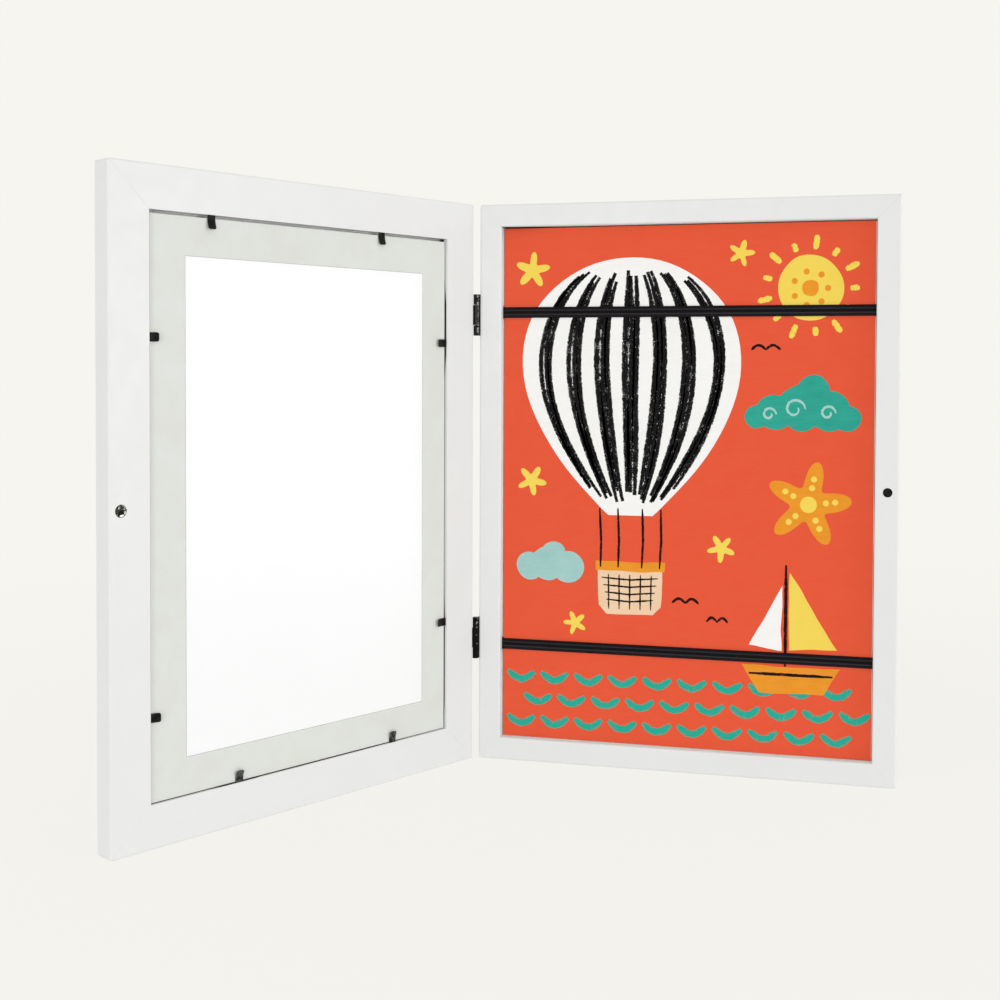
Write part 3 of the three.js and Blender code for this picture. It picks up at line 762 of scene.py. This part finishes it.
def make_point(name, side, along, tip, material, seed):
    """A strip of soft steel that is sunk in the rail, bends beside it and curls up a little over the mat."""
    draw = random.Random(seed)
    lift = point_lift * draw.uniform(*point_lift_shares)
    skew = draw.uniform(-point_skew, point_skew)
    (root_x, root_z), (way_x, way_z) = point_root(side, along)
    bend_start, bend_end = point_bend
    reaches = [-point_depth, 0.0]
    for step in range(point_bend_steps + 1):
        reaches.append(bend_start + (bend_end - bend_start) * step / point_bend_steps)
    for turn in quarter_turns(point_steps)[1:]:
        reaches.append(bend_end + (tip - bend_end) * sin(turn))

    def spot(reach, across, level):
        aside = across + skew * reach
        x = root_x + way_x * reach - way_z * aside
        z = root_z + way_z * reach + way_x * aside
        return in_door(x, point_front + point_thick / 2 + level, z)

    def rise(reach):
        share = max(0.0, (reach - bend_end) / (tip - bend_end))
        return lift * share ** point_curl

    nudge = 0.01 * MM
    rings = []
    for reach in reaches:
        slope = atan((rise(reach + nudge) - rise(reach)) / nudge)
        ring = []
        for across, height in point_section(point_half(reach, tip)):
            ring.append(spot(reach - height * sin(slope), across, rise(reach) + height * cos(slope)))
        rings.append(ring)
    work = bmesh.new()
    loft(work, rings)
    piece = mesh_piece(name + "_point_strip", work, 50)
    piece.data.materials.append(material)
    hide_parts(name + "_point_shank", name + "_point_tongue")
    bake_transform(piece)


def make_screw(node, place, inward, body, material, turn):
    """A countersunk screw with a cross recess, in the place of its plain solid."""
    upward = Vector((0, 0, 1))
    aside = inward.cross(upward)

    def spot(x, y, depth):
        return place + aside * x + upward * y + inward * depth

    def ring(radius, depth):
        return [spot(x, y, depth) for x, y in disc(0, 0, radius, screw_sides)]

    def cross(scale, depth):
        outline = []
        for quarter in range(4):
            angle = turn + pi / 2 * quarter
            arm = recess_arm * scale
            for x, y in ((recess_half, recess_half), (arm, recess_half), (arm, -recess_half)):
                turned = (x * cos(angle) + y * sin(angle), x * sin(angle) - y * cos(angle))
                outline.append(spot(*turned, depth))
        return outline

    work = bmesh.new()
    skin = loft(work, [
        ring(screw_head - screw_rounding, 0),
        ring(screw_head, screw_rounding),
        ring(screw_shank, screw_cone + screw_rounding),
        ring(screw_shank, screw_length),
        ring(screw_shank * screw_tip_share, screw_length + screw_tip),
    ], False)
    work.faces.new(skin[-1])
    recess = loft(work, [cross(1.0, 0), cross(recess_taper, recess_depth)], False)
    work.faces.new(recess[-1])
    rims = []
    for loop in (skin[0], recess[0]):
        rims += [work.edges.get(pair) for pair in zip(loop, loop[1:] + loop[:1])]
    bmesh.ops.triangle_fill(work, use_beauty=True, edges=rims)
    piece = mesh_piece(node + "_head", work, 30)
    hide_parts(node)
    finish_piece(piece, material, body)


def make_screws(material):
    """The leaf screws: their heads face away from the rails that they hold."""
    draw = random.Random(17)
    into_tray = Vector((1, 0, 0))
    into_door = (in_door(1, 0, 0) - in_door(0, 0, 0)).normalized()
    for hinge, height in hinge_heights.items():
        for level, rise in screw_rise.items():
            tray_spot = Vector((pin_x + screw_face, pin_y + screw_out, height + rise))
            door_spot = in_door(screw_face, -screw_out, height + rise)
            for body, spot, inward in (("tray", tray_spot, into_tray), ("door", door_spot, into_door)):
                node = f"{hinge}_hinge_{body}_{level}_screw"
                make_screw(node, spot, inward, body, material, draw.uniform(0, 1.5))


def make_door_magnet(material):
    """A nickel-plated magnet whose face is knocked and dented, in the place of its plain solid."""
    middle_x = door_side + frame_wide - magnet_inset
    middle_z = frame_tall / 2

    def ring(radius, drop, dented):
        row = []
        for x, z in disc(0, 0, radius, magnet_sides):
            bumps = noise.noise(Vector((x * magnet_dent_pitch, z * magnet_dent_pitch, 4.7)))
            dent = dented * magnet_dents * (bumps - 0.35)
            row.append(in_door(middle_x + x, door_inside - drop + min(dent, 0.0), middle_z + z))
        return row

    flat = magnet_radius - magnet_bevel
    rings = []
    for step in range(1, magnet_rings + 1):
        share = step / magnet_rings
        rings.append(ring(flat * share, 0.0, 1 - share ** 6))
    for turn in quarter_turns(magnet_bevel_steps)[1:]:
        rings.append(ring(flat + magnet_bevel * sin(turn), magnet_bevel * (1 - cos(turn)), 0.0))
    rings.append(ring(magnet_radius, magnet_thick, 0.0))
    work = bmesh.new()
    loft(work, rings)
    piece = mesh_piece("door_magnet_disc", work, 60)
    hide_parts("door_magnet")
    finish_piece(piece, material, "door")


def staple_path(middle, turn):
    """The middle line of a staple that is driven into the back panel: leg, crown and leg."""
    half = [(staple_half, -staple_leg)]
    for angle in quarter_turns(staple_corner_steps):
        reach = staple_half - staple_corner * (1 - cos(angle))
        half.append((reach, staple_wire * 0.8 - staple_corner * (1 - sin(angle))))
    flat = [(-reach, height) for reach, height in half] + half[::-1]
    return [middle + Vector((reach * cos(turn), height, reach * sin(turn))) for reach, height in flat]


def add_wire(work, path, radius, side, sides=10):
    """A round wire along a path that lies in the plane square to the given side."""
    rings = []
    for index, point in enumerate(path):
        outward = way_along(path, index).cross(side)
        rings.append([point + side * x + outward * y for x, y in disc(0, 0, radius, sides)])
    loft(work, rings)


def make_panel_staples(material):
    """Wire staples round the edge of the back panel, some upright and some level."""
    low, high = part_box("back_panel")
    draw = random.Random(29)
    spots = []
    for share in staple_heights:
        height = low.z + (high.z - low.z) * share
        spots += [(low.x + staple_inset, height, pi / 2), (high.x - staple_inset, height, pi / 2)]
    for share in staple_widths:
        across = low.x + (high.x - low.x) * share
        spots += [(across, low.z + staple_inset, 0.0), (across, high.z - staple_inset, 0.0)]
    work = bmesh.new()
    for x, z, turn in spots:
        tilted = turn + draw.uniform(-staple_tilt, staple_tilt)
        side = Vector((-sin(tilted), 0, cos(tilted)))
        add_wire(work, staple_path(Vector((x, high.y, z)), tilted), staple_wire, side)
    piece = mesh_piece("back_panel_staples", work, 50)
    finish_piece(piece, material, "tray")


sheet_low, sheet_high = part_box("front_sheet")
sheet_middle = (sheet_low + sheet_high) / 2
paints = {name: finish("paint_" + name, gouache, *tones) for name, tones in picture_paints.items()}
crayons = {name: finish("crayon_" + name, crayon, *tones) for name, tones in picture_crayons.items()}


def on_sheet(x, z, height):
    """A point of the picture, from millimetres on the sheet to metres in the frame."""
    return (sheet_middle.x + x * MM, sheet_low.y - height, sheet_middle.z + z * MM)


def wobble(points, amount, seed):
    """Moves an outline's points a little, in long waves, as a hand would."""
    draw = random.Random(seed)
    waves = [(turns, draw.uniform(0, 2 * pi), draw.uniform(0, 2 * pi)) for turns in (2, 3, 5, 9)]
    moved = []
    for angle, (x, z) in zip(round_angles(len(points)), points):
        shift_x = sum(sin(turns * angle + first) / turns for turns, first, second in waves)
        shift_z = sum(sin(turns * angle + second) / turns for turns, first, second in waves)
        moved.append((x + amount * shift_x, z + amount * shift_z))
    return moved


def soft_star(x, z, radius, waist, turn, count=120):
    """A star with round tips."""
    points = []
    for angle in round_angles(count):
        share = (0.5 + 0.5 * cos(star_arms * angle)) ** 1.25
        reach = radius * (waist + (1 - waist) * share)
        points.append((x + reach * sin(angle + turn), z + reach * cos(angle + turn)))
    return points


def cloud(x, z, puffs, count=140):
    """The outer outline of several round puffs, each given as its place and radius."""
    points = []
    for angle in round_angles(count):
        reach = 0.0
        for puff_x, puff_z, radius in puffs:
            along = puff_x * cos(angle) + puff_z * sin(angle)
            aside = puff_x * sin(angle) - puff_z * cos(angle)
            if abs(aside) < radius:
                reach = max(reach, along + sqrt(radius ** 2 - aside ** 2))
        points.append(around(x, z, reach, angle))
    return points


def bow(x, z, wide, rise, steps):
    """A bowed line from a point to one beside it."""
    return [(x + wide * step / steps, z + rise * sin(pi * step / steps)) for step in range(steps + 1)]


def spaced(points, step):
    """The points of a broken line, set again at even spaces."""
    result = [Vector(points[0])]
    for first, second in zip(points, points[1:]):
        start = Vector(first)
        end = Vector(second)
        count = max(1, round((end - start).length / step))
        for index in range(1, count + 1):
            result.append(start.lerp(end, index / count))
    return result


def outline_of(corners):
    """The outline of a shape with the given corners, in short steps."""
    return [tuple(point) for point in spaced(corners + corners[:1], outline_step)][:-1]


def paint_shapes(name, outlines, level, colour):
    """Filled shapes of paint, as thin closed solids on the sheet."""
    work = bmesh.new()
    for outline in outlines:
        loft(work, [[on_sheet(x, z, height) for x, z in outline] for height in (0.0, paint_layer * level)])
    finish_piece(mesh_piece("picture_" + name, work, 30), paints[colour], "tray")


def crayon_strokes(name, lines, level, colour, seed):
    """Drawn lines with ragged sides, each given as its points and its width."""
    draw = random.Random(seed)
    work = bmesh.new()
    layer = work.verts.layers.float.new("stroke_edge")
    height = paint_layer * level
    for points, width in lines:
        line = spaced(points, stroke_step)
        rings = []
        for index, point in enumerate(line):
            along = way_along(line, index)
            aside = Vector((-along.y, along.x))
            share = index / (len(line) - 1)
            swell = 0.5 * width * (0.55 + 0.45 * min(1.0, 5 * share, 5 * (1 - share)))
            left = point + aside * (swell * draw.uniform(0.82, 1.08))
            right = point - aside * (swell * draw.uniform(0.82, 1.08))
            flat = [(left, 0.0), (point, 0.0), (right, 0.0), (right, height), (point, height), (left, height)]
            rings.append([on_sheet(spot.x, spot.y, up) for spot, up in flat])
        for row in loft(work, rings):
            for index in (0, 2, 3, 5):
                row[index][layer] = 1.0
    finish_piece(mesh_piece("picture_" + name, work, 60), crayons[colour], "tray")


def balloon_half(share):
    """Half the balloon's width at a share of its height from the top."""
    if share < balloon_widest:
        rise = 1 - share / balloon_widest
        return balloon_wide / 2 * sqrt(max(0.0, 1 - rise ** 2))
    fall = (share - balloon_widest) / (1 - balloon_widest)
    return balloon_wide / 2 * (balloon_mouth + (1 - balloon_mouth) * cos(pi / 2 * fall) ** 0.9)


def balloon_outline():
    """The outline of the balloon's bag."""
    steps = [(1 - cos(pi * index / balloon_steps)) / 2 for index in range(balloon_steps + 1)]
    right = [(balloon_x + balloon_half(share), balloon_top - balloon_tall * share) for share in steps]
    left = [(2 * balloon_x - x, z) for x, z in reversed(right[1:])]
    return wobble(right + left, 1.0, 3)


def balloon_lines():
    """Crayon stripes that follow the bag's gores, wide at the middle."""
    lines = []
    for index in range(balloon_stripes):
        side = (index - (balloon_stripes - 1) / 2) / (balloon_stripes / 2)
        draw = random.Random(40 + index)
        wide = stripe_wide * (1 - 0.3 * abs(side))
        for stroke in range(stripe_passes):
            offset = wide * (stroke - (stripe_passes - 1) / 2) / stripe_passes
            start = 0.05 + 0.05 * draw.random()
            end = 0.95 - 0.06 * draw.random()
            phase = draw.uniform(0, 6)
            points = []
            for step in range(stripe_steps + 1):
                share = start + (end - start) * step / stripe_steps
                half = balloon_half(share)
                sway = 0.45 * sin(9 * share + phase) + offset * min(1.0, 0.45 + half / balloon_wide)
                points.append((balloon_x + side * half * 0.93 + sway, balloon_top - balloon_tall * share))
            lines.append((points, wide / stripe_passes * 1.22))
    return lines


def make_balloon():
    """Bag, stripes, ropes and basket."""
    paint_shapes("balloon_bag", [balloon_outline()], 1, "white")
    crayon_strokes("balloon_stripes", balloon_lines(), 2, "black_on_white", 5)
    mouth = balloon_top - balloon_tall
    rim = basket_z + basket_tall / 2
    ropes = []
    for side in (-1, -0.4, 0.4, 1):
        top_x = balloon_x + side * balloon_half(0.97)
        low_x = balloon_x + side * basket_wide * 0.45
        middle = ((top_x + low_x) / 2 + 0.6, (mouth + rim) / 2)
        ropes.append(([(top_x, mouth + 4), middle, (low_x, rim - 1)], 1.5))
    crayon_strokes("balloon_ropes", ropes, 2, "black_on_coral", 6)
    make_basket(rim)


def under_balloon(right):
    """The outline of a shape under the balloon, from the corners of its right half."""
    left = [(-x, z) for x, z in reversed(right)]
    return [(balloon_x + x, z) for x, z in outline_of(left[-1:] + right + left[:-1])]


def make_basket(rim):
    """The balloon's basket with its rim and its weave."""
    half = basket_wide / 2
    low = basket_z - basket_tall / 2
    sides = under_balloon([(half, rim), (half * 0.94, low + 5), (half * 0.7, low)])
    paint_shapes("basket", [wobble(sides, 0.5, 8)], 1, "peach")
    band = under_balloon([(half * 1.06, rim + 2.5), (half * 1.05, rim - 3)])
    paint_shapes("basket_rim", [wobble(band, 0.5, 9)], 2, "orange")
    weave = []
    for index in range(4):
        z = rim - 7 - 4.2 * index
        reach = half * (0.86 - 0.05 * index)
        weave.append(([(balloon_x - reach, z), (balloon_x, z - 1.0), (balloon_x + reach, z + 0.4)], 1.1))
    for index in range(5):
        x = balloon_x + (index - 2) * 6.2
        weave.append(([(x, rim - 5), (x * 0.98 + balloon_x * 0.02, low + 3)], 1.0))
    crayon_strokes("basket_weave", weave, 3, "black_on_peach", 12)


def make_sun():
    """A round sun with drawn rays and a spotted middle."""
    x, z = sun_place
    paint_shapes("sun", [wobble(disc(x, z, sun_radius), 0.7, 21)], 1, "yellow")
    rays = []
    for index, angle in enumerate(round_angles(sun_rays)):
        reaches = (sun_ray_start, sun_ray_ends[index % 2])
        rays.append(([around(x, z, sun_radius + reach, angle) for reach in reaches], 3.4))
    crayon_strokes("sun_rays", rays, 1, "yellow_on_coral", 22)
    spots = [disc(*around(x, z, sun_spot_reach, 0.9 * index), 1.7, 18) for index in range(sun_spots)]
    spots.append(wobble(disc(x, z, 4.6, 30), 0.3, 23))
    paint_shapes("sun_spots", spots, 2, "orange")


def make_clouds():
    """Two clouds of round puffs, with a drawn curl."""
    paint_shapes("cloud_teal", [wobble(cloud(*near_cloud), 0.6, 31)], 1, "teal")
    paint_shapes("cloud_pale", [wobble(cloud(*far_cloud), 0.5, 32)], 1, "pale_blue")
    curls = []
    for x, z, size in cloud_curls:
        curls.append(([around(x, z, size * (1 - step / 22), 0.45 * step) for step in range(16)], 1.5))
    crayon_strokes("cloud_curls", curls, 2, "pale_on_teal", 33)


def make_stars():
    """A large spotted star and some small ones."""
    x, z, radius, turn = large_star
    large = wobble(soft_star(x, z, radius, 0.42, turn), 0.6, 41)
    paint_shapes("star_large", [large], 1, "orange")
    spots = [disc(x, z, 4.6, 24)]
    for arm in round_angles(star_arms):
        for reach in large_star_spots:
            spots.append(disc(x + reach * sin(turn + arm), z + reach * cos(turn + arm), 1.7, 16))
    paint_shapes("star_spots", spots, 2, "yellow")
    outlines = []
    for index, (x, z, radius, turn) in enumerate(small_stars):
        outlines.append(wobble(soft_star(x, z, radius, 0.4, turn), 0.3, 50 + index))
    paint_shapes("stars_small", outlines, 1, "yellow")


def make_sea():
    """Rows of brushed waves with a small sailing boat on them."""
    waves = []
    for z, start in wave_rows:
        for index in range(12):
            x = start + index * wave_pitch
            if abs(x) <= wave_limit:
                waves.append((bow(x - wave_wide / 2, z, wave_wide, -wave_drop, 12), 4.4))
    crayon_strokes("waves", waves, 1, "teal_on_coral", 61)
    for seed, (name, colour, corners) in enumerate(boat_shapes, 62):
        paint_shapes("boat_" + name, [wobble(outline_of(corners), 0.5, seed)], 2, colour)
    crayon_strokes("boat_mast", boat_lines, 3, "black_on_coral", 65)


def make_birds():
    """Three birds, each drawn with two short bows."""
    lines = []
    for x, z, size in birds:
        for start in (x - size, x):
            lines.append((bow(start, z, size, bird_rise, 8), 1.7))
    crayon_strokes("birds", lines, 1, "black_on_coral", 71)


def dress(name, material):
    """Puts a finish on a node that stays."""
    nodes[name].data.materials.clear()
    nodes[name].data.materials.append(material)


def dress_nodes():
    """Every solid that stays gets its finish by the record's slot for it."""
    looks = {
        "white_paint": (white_paint,),
        "hardboard": (hardboard,),
        "sheet_paper": (paper_stack,),
        "black_elastic": (elastic,),
        "clear_pane": (clear_pane,),
        "mat_board": (mat_board,),
        # Black steel: rubbed edges, and a painted highlight along each knuckle
        "black_steel": (hinge_steel, 0.14, 0.46),
        "zinc_steel": (metal, srgb(176, 178, 182), srgb(205, 206, 208), 0.3, 1.0),
        "black_magnet": (metal, srgb(11, 11, 10), srgb(58, 58, 54), 0.6, 0.0, 0.08, 0.5),
        "dark_steel": (metal, srgb(10, 10, 9), srgb(92, 91, 87), 0.26, 0.0, 0.1, 0.08),
        # Nickel given a dark colour, a painted reflection of something dark, with pale patches as painted
        # glints
        "nickel_magnet": (metal, srgb(34, 34, 32), srgb(150, 149, 145), 0.06, 1.0, 0.5, 1.0, nickel_glint_patches),
        # Paler copy of dark steel for the bottom points: painted reflections of the light from above, besides
        # rubbed edges
        "rubbed_steel": (metal, srgb(15, 15, 14), srgb(122, 121, 118), 0.3, 0.0, 0.2, 0.5, bottom_point_glint_patches),
    }
    finishes = {slot: finish(slot + "_finish", *look) for slot, look in looks.items()}
    finishes["picture_paper"] = finish("paint_coral", gouache, coral, srgb(234, 84, 49), 0.12, 0.012 * MM)
    for name, node in nodes.items():
        dress(name, finishes[node.data.materials[0].name])
    # Rails with painted shade in their gaps get paint of their own
    for name in (*shade_stretches, "tray_top_rail"):
        dress(name, finish(name + "_finish", white_paint, name))
    # The lower hinge: less wear, and a fainter painted highlight
    less_worn_and_highlit = finish("black_steel_less_rubbed_finish", hinge_steel, 0.08, 0.54)
    for name in ("lower_hinge_tray_leaf", "lower_hinge_door_leaf", "lower_hinge_pin"):
        dress(name, less_worn_and_highlit)
    return finishes


def keep_rails_neutral():
    """Leaves the coral sheet out of bounced light, so that the rails beside it stay white."""
    nodes["front_sheet"].visible_diffuse = False
    nodes["front_sheet"].visible_shadow = False


def backdrop_rays(tree):
    """1 for rays that show the backdrop itself: straight, mirrored or through glass."""
    path = add_node(tree, "LightPath").outputs
    seen = compute("MAXIMUM", path["Is Camera Ray"], path["Is Glossy Ray"])
    return compute("MAXIMUM", seen, path["Is Transmission Ray"])


def backdrop_tint(tree):
    """The backdrop's colour, a cleaner white where it is seen through the pane."""
    through = compute("MINIMUM", add_node(tree, "LightPath").outputs["Transparent Depth"], 1.0)
    return mix(through, backdrop_colour, backdrop_through_pane)


def floor_look(tree, shader):
    """Pale, in the backdrop's colour and with the frame's soft shadow; to bounced light it glows, and so
    lights the frame faintly from below.
    """
    floor_tint = mix(grain(tree, floor_clouds), *floor_colours)
    fill(shader, Base_Color=floor_tint, Roughness=0.9, Specular_IOR_Level=0.0)
    glow = add_node(tree, "Emission", Color=backdrop_tint(tree), Strength=1.0)
    distance = compute_vector("LENGTH", own_place(tree))["Value"]
    near = spread(distance, shadow_inner, shadow_outer, floor_share, 0.0)
    share = times(compute("SUBTRACT", 1.0, near), backdrop_rays(tree))
    seen = mix_shaders(share, shader.outputs[0], glow.outputs[0])
    # The floor glows for bounced light, and so lights the frame from below
    under = add_node(tree, "Emission", Color=plain_white, Strength=daylight_level)
    bounced = add_node(tree, "LightPath").outputs["Is Diffuse Ray"]
    show(tree, mix_shaders(times(bounced, floor_glow_share), seen, under.outputs[0]))


def make_floor():
    """A wide floor under the frame."""
    work = bmesh.new()
    bmesh.ops.create_grid(work, x_segments=8, y_segments=8, size=floor_size / 2)
    floor = mesh_piece("floor", work)
    floor.data.materials.append(finish("floor_finish", floor_look))


def make_world():
    """Even daylight all round, with the backdrop's colour where it is seen."""
    world = bpy.data.worlds.new("studio")
    bpy.context.scene.world = world
    world.use_nodes = True
    tree = world.node_tree
    tree.nodes.clear()
    light = add_node(tree, "Background", Color=plain_white, Strength=daylight_level)
    shown = add_node(tree, "Background", Color=backdrop_tint(tree), Strength=1.0)
    both = mix_shaders(backdrop_rays(tree), light.outputs[0], shown.outputs[0])
    add_node(tree, "OutputWorld", Surface=both)


def make_lamp(name, place, size, power):
    """A large soft lamp that faces the middle of the frame."""
    data = bpy.data.lights.new(name, "AREA")
    data.size = size
    data.energy = power
    lamp = bpy.data.objects.new(name, data)
    lamp.location = place
    lamp.rotation_euler = (Vector(lamp_target) - Vector(place)).to_track_quat("-Z", "Y").to_euler()
    bpy.context.scene.collection.objects.link(lamp)


def make_camera():
    """The camera where the photograph was taken from."""
    data = bpy.data.cameras.new("camera")
    data.sensor_width = camera_sensor
    data.lens = camera_focus * camera_sensor
    data.shift_x, data.shift_y = camera_shift
    data.clip_start = camera_clip
    camera = bpy.data.objects.new("camera", data)
    turn = Matrix.Rotation(camera_yaw, 4, "Z") @ Matrix.Rotation(camera_pitch, 4, "X")
    turn = turn @ Matrix.Rotation(camera_roll, 4, "Y") @ Matrix.Rotation(pi / 2, 4, "X")
    camera.matrix_world = Matrix.Translation(camera_place) @ turn
    bpy.context.scene.collection.objects.link(camera)
    bpy.context.scene.camera = camera


def main():
    """Builds the whole scene."""
    bpy.context.scene.view_settings.view_transform = "Standard"
    make_camera()
    make_world()
    for name, lamp in lamps.items():
        make_lamp(name, *lamp)
    make_floor()
    finishes = dress_nodes()
    keep_rails_neutral()
    for seed, (name, side, along, tip) in enumerate(flexible_points, point_seed):
        # The bottom points get the paler copy, with painted reflections of the light from above
        steel = finishes["rubbed_steel" if side == "bottom" else "dark_steel"]
        make_point(name, side, along, tip, steel, seed)
    make_screws(finishes["black_steel"])
    make_door_magnet(finishes["nickel_magnet"])
    make_panel_staples(finishes["zinc_steel"])
    make_strap("upper_strap", finishes["black_elastic"])
    make_strap("lower_strap", finishes["black_elastic"])
    make_sheets(finishes["sheet_paper"])
    make_balloon()
    make_sun()
    make_clouds()
    make_stars()
    make_sea()
    make_birds()


main()
